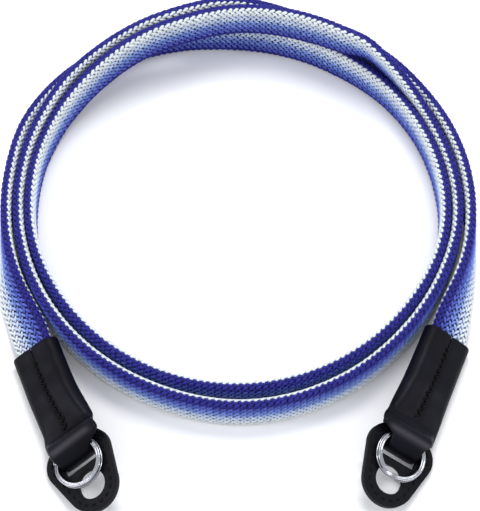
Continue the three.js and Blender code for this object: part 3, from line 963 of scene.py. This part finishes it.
def rounded_slot(width, back, front, r=0.35):
    """Points round a slot with small round corners."""
    corners = [(width / 2 - r, back + r, -90), (width / 2 - r, front - r, 0),
               (r - width / 2, front - r, 90), (r - width / 2, back + r, 180)]
    quarter = np.radians(np.linspace(0, 90, 5))
    return np.concatenate([np.stack([x + r * np.cos(quarter + math.radians(a)),
                                     y + r * np.sin(quarter + math.radians(a))], -1)
                           for x, y, a in corners])


edge_round = 0.28              # mm


def protector_plate(name):
    turn = np.linspace(0, 2 * math.pi, 56, endpoint=False)
    hole = hole_centre + hole_radius * np.stack([np.cos(turn), np.sin(turn)], -1)
    loops = [plate_outline(), hole, rounded_slot(neck_width + 0.6, slot_back, slot_front)]
    drawing = bpy.data.curves.new("plate_drawing", "CURVE")
    drawing.dimensions = "2D"
    drawing.fill_mode = "BOTH"
    drawing.extrude = (protector_thickness / 2 - edge_round) * MM
    drawing.bevel_depth = edge_round * MM
    drawing.bevel_resolution = 3
    drawing.offset = -edge_round * MM
    for outline in loops:
        spline = drawing.splines.new("POLY")
        spline.points.add(len(outline) - 1)
        spline.use_cyclic_u = True
        for point, (x, y) in zip(spline.points, outline):
            point.co = (y * MM, -x * MM, 0, 1)
    drawn = new_object("plate_drawing", drawing)
    mesh = bpy.data.meshes.new_from_object(drawn.evaluated_get(bpy.context.evaluated_depsgraph_get()))
    bpy.data.objects.remove(drawn)
    mesh.materials.clear()
    mesh.materials.append(protector_hide)
    mesh.materials.append(burnished_edge)
    for face in mesh.polygons:
        face.material_index = 0 if abs(face.normal.z) > 0.9 else 1
        face.use_smooth = abs(face.normal.z) <= 0.98
    plate = new_object(f"protector_plate_{name}", mesh)
    print(plate.name, "faces", len(mesh.polygons))
    return place_end(plate, name, hung=True)


plates = {name: protector_plate(name) for name in ends}

# %% [markdown]
# A line of stout stitches runs just inside the rim, on both faces. A stitch there is a short bead
# that sinks into the hide at its ends, so each is a thread tube of its own with a low arch.

# %% Rim stitches on the protectors
rim_pitch, rim_inset = 2.35, 1.75
rim_thread = 0.32              # radius


def rim_stitches(name):
    line = plate_outline(inset=rim_inset)
    line = np.concatenate([line, line[:1]])
    length = walked(line)
    count = int(length[-1] / rim_pitch)
    paths = []
    for i in range(count):
        middle = (i + 0.5) * length[-1] / count
        along = middle + np.linspace(-0.5, 0.5, 7)
        across = np.interp(along, length, line[:, 0])
        tip = np.interp(along, length, line[:, 1])
        dip = 0.14 * np.cos(np.linspace(-1, 1, 7) * math.pi / 2) - 0.1
        for face in (1, -1):
            height = face * (protector_thickness / 2 + dip)
            paths.append(np.stack([tip, -across, height], -1))
    points, faces = thread_tube(paths, rim_thread)
    piece = mesh_piece(f"rim_thread_{name}", points, faces, [bonded_thread])
    print(piece.name, "stitches", count, "on each face")
    return place_end(piece, name, hung=True)


for name in ends:
    rim_stitches(name)

# %% [markdown]
# ## Split rings
# A split ring is two turns of flat spring wire, pressed together, with a jog where the wire steps
# from one turn to the other. A torus with a groove would pass from afar, but not at this size. So a
# rounded flat section is swept along the real path, and the line between the turns, the jog and the
# square cut ends are all there.

# %% Two turns of flat wire
ring_radius, ring_wire = 7.5, 1.35
coil_thickness = 0.95
coil_offset = 0.16             # mm that the lower turn's radius is more than the upper one's
ring_drop = 1.2                # from the slot's middle to the ring's, towards the tip
jog_start, jog_span, cut_away = (math.radians(angle) for angle in (360 - 36, 32, 38))
jog_angle = {"left": math.radians(-78), "right": math.radians(8)}


def split_ring(name):
    turn = np.linspace(0, 4 * math.pi - cut_away, 230)
    level = -0.5 + ease(turn - jog_start, 0, jog_span)
    round_wire = np.linspace(0, 1, 20, endpoint=False) * stadium_length(ring_wire, coil_thickness)
    wire, _ = stadium(round_wire, ring_wire, coil_thickness)
    square = np.sign(wire) * np.minimum(np.abs(wire) * 1.04, [ring_wire / 2, coil_thickness / 2])
    square[:, 1] *= 1 - 0.5 * np.exp(-(square[:, 0] / 0.2)**2)
    middle = ring_radius - ring_wire / 2
    way = turn + jog_angle[name]
    aside = coil_offset * (0.5 - level)[:, None]
    radius = middle - coil_offset + aside + square[None, :, 0]
    points = np.stack([radius * np.cos(way)[:, None], radius * np.sin(way)[:, None],
                       level[:, None] + square[None, :, 1] * np.ones_like(radius)], -1)
    faces = grid_faces(len(turn), len(wire), closed=True).tolist() + end_caps(len(turn), len(wire))
    points += [ring_drop, 0, protector_thickness / 2 + fit_gap + ring_thickness / 2]
    piece = mesh_piece(f"ring_coils_{name}", points, faces, [plated_steel])
    print(piece.name, 2 * ring_radius, "mm across")
    return place_end(piece, name, hung=True)


rings = {name: split_ring(name) for name in ends}

# %% [markdown]
# ## What the pieces stand for
# Each main piece takes the place of one CAD solid, and the CAD solids are hidden.

# %% Each piece stands for its CAD solid
for name in ends:
    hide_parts(f"end_sheath_{name}")
    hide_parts(f"lug_protector_{name}")
    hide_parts(f"split_ring_{name}")
